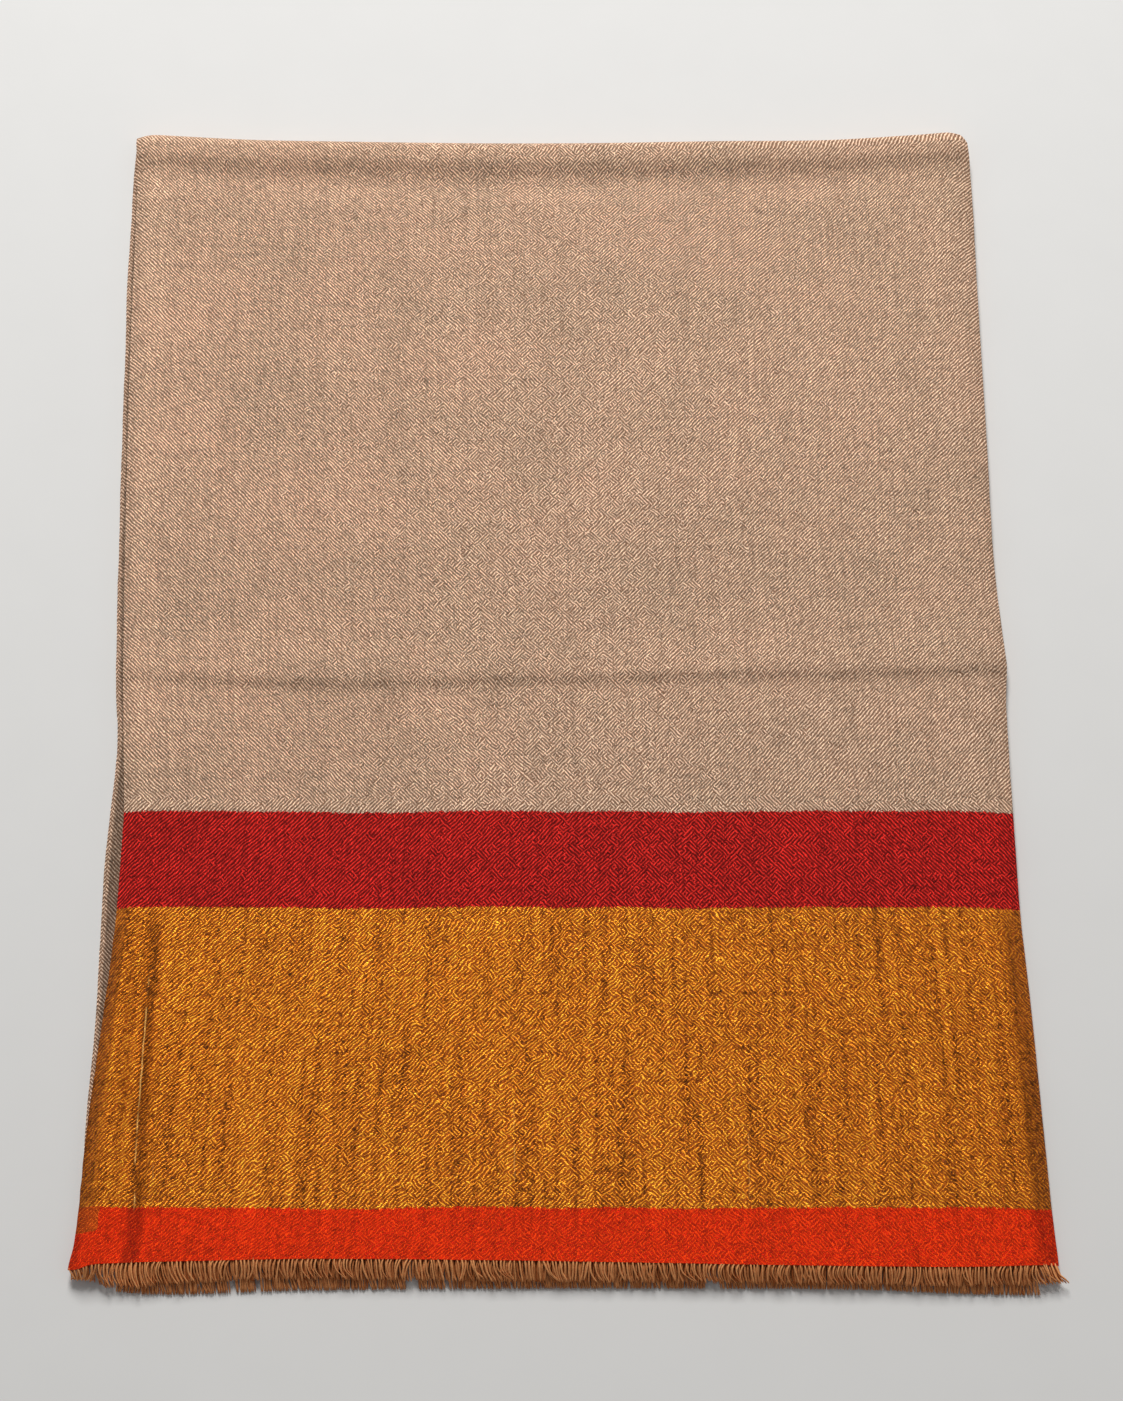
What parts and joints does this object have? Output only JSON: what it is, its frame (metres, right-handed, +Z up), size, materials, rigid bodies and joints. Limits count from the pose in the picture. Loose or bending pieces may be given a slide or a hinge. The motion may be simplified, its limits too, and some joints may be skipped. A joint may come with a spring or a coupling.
{
  "type": "folded dupatta stole",
  "caption": "Fringed twill stole with woven end borders, folded flat so that one end's borders lie on top.",
  "frame": {"origin": "under the middle of the folded stole's bounding box, on the surface it lies on", "axes": "+Z up; +Y from the fringed ends to the crosswise fold; +X from the selvedges to the lengthwise fold"},
  "size_m": [0.38, 0.4888, 0.011],
  "materials": {
    "beige_twill": "matte wool twill with a melange weft",
    "red_twill": "matte fine twill",
    "gold_weave": "metallic thread weave, soft glint",
    "orange_twill": "satin-faced twill",
    "under_layers": "matte wool twill, folded edges",
    "fringe_yarn": "loose twisted yarn",
    "under_fringe_yarn": "loose twisted yarn"
  },
  "bodies": {
    "root": {"field": "beige_twill", "red_band": "red_twill", "gold_band": "gold_weave", "orange_band": "orange_twill", "under_layers": "under_layers", "fringe": "fringe_yarn", "under_fringe": "under_fringe_yarn"}
  },
  "joints": []
}
